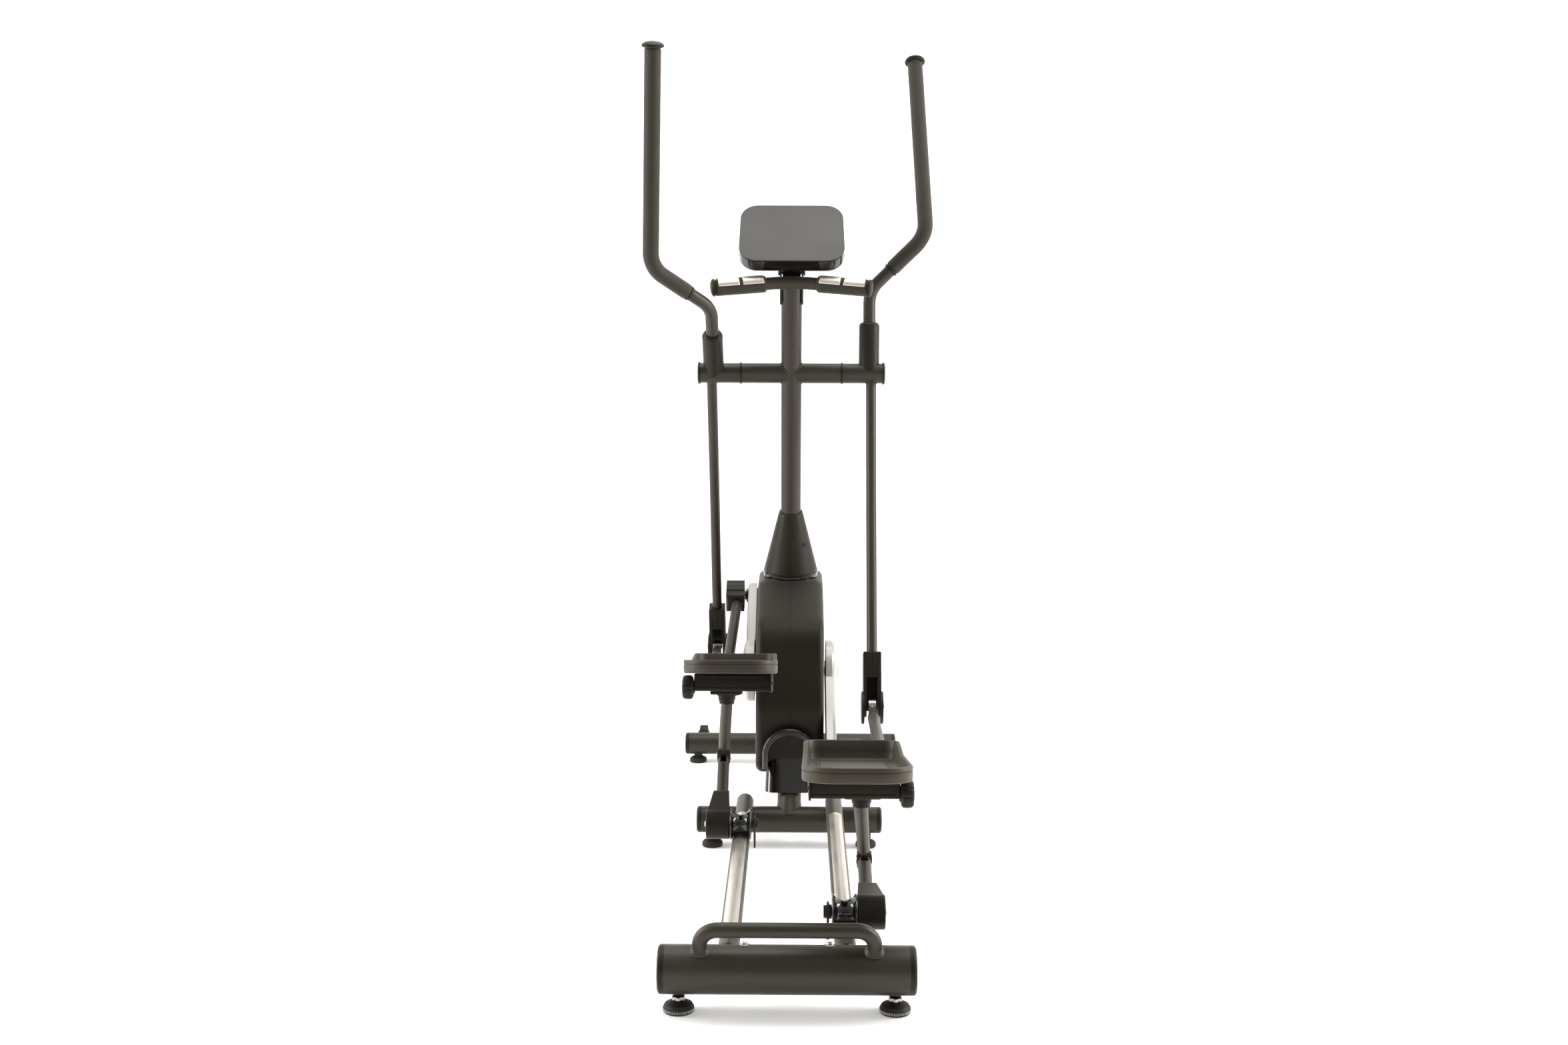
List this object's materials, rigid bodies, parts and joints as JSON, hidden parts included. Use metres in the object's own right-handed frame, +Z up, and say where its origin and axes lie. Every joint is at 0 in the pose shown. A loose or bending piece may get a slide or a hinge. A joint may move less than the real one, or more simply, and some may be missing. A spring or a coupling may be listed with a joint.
{
  "type": "elliptical trainer",
  "caption": "Front-drive elliptical trainer: pedals on roller-guided connecting arms, swinging foam-gripped handlebars, fixed handlebar with contact pads and a tilting console.",
  "frame": {"origin": "on the floor, at the centre of the machine's box", "axes": "+Z up, +Y forward (the way the user faces), +X to the user's right"},
  "size_m": [0.6326, 1.8765, 1.7758],
  "materials": {
    "painted_steel": "satin powder coat",
    "black_plastic": "fine matte texture",
    "gloss_black": "glossy",
    "foam": "matte closed-cell foam",
    "aluminium": "satin anodised",
    "steel": "zinc plated",
    "silver_plastic": "pale silver satin",
    "pedal_plastic": "moulded, grained",
    "rubber": "matte",
    "cast_iron": "machined",
    "belt_rubber": "ribbed belt",
    "contact_metal": "fine brushed",
    "console_plastic": "speckled matte"
  },
  "bodies": {
    "frame": {"rear_stabiliser": "painted_steel", "middle_crossbar": "painted_steel", "front_stabiliser": "painted_steel", "tube_end_caps": "black_plastic", "rail_tubes": "painted_steel", "rail_strips": "aluminium", "frame_spine": "painted_steel", "mast": "painted_steel", "shroud_left": "black_plastic", "shroud_right": "black_plastic", "mast_boot": "black_plastic", "trim_rings": "gloss_black", "post_boot": "gloss_black", "fixed_feet": "rubber", "fixed_handlebar": "painted_steel", "fixed_grips": "black_plastic", "pulse_contacts": "contact_metal", "crank_bearings": "steel", "drive_belt": "belt_rubber", "eddy_brake": "steel", "power_inlet": "black_plastic"},
    "crank": {"crank_axle": "steel", "drive_pulley": "black_plastic", "crank_arms": "painted_steel", "crank_covers": "silver_plastic"},
    "flywheel_rotor": {"flywheel": "cast_iron"},
    "console": {"console_housing": "gloss_black", "console_face": "console_plastic"},
    "left_carriage": {"left_roller_carriage": "painted_steel"},
    "left_wheel": {"left_roller": "gloss_black"},
    "left_link": {"left_connecting_arm": "painted_steel", "left_connecting_covers": "black_plastic"},
    "left_step": {"left_pedal_arm": "painted_steel", "left_rod_end": "steel", "left_pedal_bracket": "painted_steel", "left_pedal": "pedal_plastic"},
    "left_knob": {"left_pedal_knob": "black_plastic"},
    "left_swing": {"left_swing_arm": "painted_steel", "left_swing_covers": "black_plastic", "left_swing_handlebar": "painted_steel", "left_swing_grip": "foam", "left_grip_cap": "black_plastic"},
    "left_foot": {"left_levelling_foot": "rubber"},
    "left_transport": {"left_transport_wheel": "rubber"},
    "right_carriage": {"right_roller_carriage": "painted_steel"},
    "right_wheel": {"right_roller": "gloss_black"},
    "right_link": {"right_connecting_arm": "painted_steel", "right_connecting_covers": "black_plastic"},
    "right_step": {"right_pedal_arm": "painted_steel", "right_rod_end": "steel", "right_pedal_bracket": "painted_steel", "right_pedal": "pedal_plastic"},
    "right_knob": {"right_pedal_knob": "black_plastic"},
    "right_swing": {"right_swing_arm": "painted_steel", "right_swing_covers": "black_plastic", "right_swing_handlebar": "painted_steel", "right_swing_grip": "foam", "right_grip_cap": "black_plastic"},
    "right_foot": {"right_levelling_foot": "rubber"},
    "right_transport": {"right_transport_wheel": "rubber"}
  },
  "joints": [
    {"name": "crank_turn", "type": "hinge", "parent": "frame", "child": "crank", "pos_m": [0, 0.28075, 0.354], "axis": [1, 0, 0], "range_deg": [0, 180]},
    {"name": "flywheel_spin", "type": "hinge", "parent": "frame", "child": "flywheel_rotor", "pos_m": [0, 0.58775, 0.318], "axis": [1, 0, 0], "continuous": true},
    {"name": "console_tilt", "type": "hinge", "parent": "frame", "child": "console", "pos_m": [0, 0.19038, 1.262], "axis": [1, 0, 0], "range_deg": [-12, 12]},
    {"name": "left_glide", "type": "slide", "parent": "frame", "child": "left_carriage", "axis": [0, 1, 0.01], "range_m": [-0.52962, 0]},
    {"name": "left_roller_spin", "type": "hinge", "parent": "left_carriage", "child": "left_wheel", "pos_m": [0, -0.25156, 0.13644], "axis": [1, 0, 0], "continuous": true},
    {"name": "left_link_pitch", "type": "hinge", "parent": "left_carriage", "child": "left_link", "pos_m": [0, -0.25156, 0.13644], "axis": [1, 0, 0], "range_deg": [-20.22, 0]},
    {"name": "left_step_pitch", "type": "hinge", "parent": "left_link", "child": "left_step", "pos_m": [0, -0.07716, 0.23534], "axis": [1, 0, 0], "range_deg": [0, 22.57]},
    {"name": "left_swing_turn", "type": "hinge", "parent": "frame", "child": "left_swing", "pos_m": [0, 0.25825, 1.04], "axis": [1, 0, 0], "range_deg": [-40.06, 0]},
    {"name": "left_knob_turn", "type": "hinge", "parent": "left_step", "child": "left_knob", "pos_m": [-0.185, -0.29488, 0.4236], "axis": [1, 0, 0], "continuous": true},
    {"name": "left_foot_screw", "type": "hinge", "parent": "frame", "child": "left_foot", "pos_m": [-0.1775, -0.89575, 0.02], "axis": [0, 0, 1], "continuous": true},
    {"name": "left_transport_roll", "type": "hinge", "parent": "frame", "child": "left_transport", "pos_m": [-0.2335, 0.91625, 0.066], "axis": [1, 0, 0], "continuous": true},
    {"name": "right_glide", "type": "slide", "parent": "frame", "child": "right_carriage", "axis": [0, 1, 0.01], "range_m": [0, 0.52962]},
    {"name": "right_roller_spin", "type": "hinge", "parent": "right_carriage", "child": "right_wheel", "pos_m": [0, -0.78114, 0.13115], "axis": [1, 0, 0], "continuous": true},
    {"name": "right_link_pitch", "type": "hinge", "parent": "right_carriage", "child": "right_link", "pos_m": [0, -0.78114, 0.13115], "axis": [1, 0, 0], "range_deg": [0, 20.22]},
    {"name": "right_step_pitch", "type": "hinge", "parent": "right_link", "child": "right_step", "pos_m": [0, -0.58331, 0.16367], "axis": [1, 0, 0], "range_deg": [-22.57, 0]},
    {"name": "right_swing_turn", "type": "hinge", "parent": "frame", "child": "right_swing", "pos_m": [0, 0.25825, 1.04], "axis": [1, 0, 0], "range_deg": [0, 40.06]},
    {"name": "right_knob_turn", "type": "hinge", "parent": "right_step", "child": "right_knob", "pos_m": [0.185, -0.80855, 0.34286], "axis": [1, 0, 0], "continuous": true},
    {"name": "right_foot_screw", "type": "hinge", "parent": "frame", "child": "right_foot", "pos_m": [0.1775, -0.89575, 0.02], "axis": [0, 0, 1], "continuous": true},
    {"name": "right_transport_roll", "type": "hinge", "parent": "frame", "child": "right_transport", "pos_m": [0.2335, 0.91625, 0.066], "axis": [1, 0, 0], "continuous": true}
  ],
  "couplings": [
    {"joint": "flywheel_spin", "follows": "crank_turn", "ratio": 5},
    {"joint": "left_glide", "follows": "crank_turn", "m_per_rad": -0.16858},
    {"joint": "left_roller_spin", "follows": "crank_turn", "ratio": 8.8726},
    {"joint": "left_link_pitch", "follows": "crank_turn", "ratio": -0.11234},
    {"joint": "left_step_pitch", "follows": "crank_turn", "ratio": 0.12537},
    {"joint": "left_swing_turn", "follows": "crank_turn", "ratio": -0.22257},
    {"joint": "right_glide", "follows": "crank_turn", "m_per_rad": 0.16858},
    {"joint": "right_roller_spin", "follows": "crank_turn", "ratio": -8.8726},
    {"joint": "right_link_pitch", "follows": "crank_turn", "ratio": 0.11234},
    {"joint": "right_step_pitch", "follows": "crank_turn", "ratio": -0.12537},
    {"joint": "right_swing_turn", "follows": "crank_turn", "ratio": 0.22257}
  ]
}
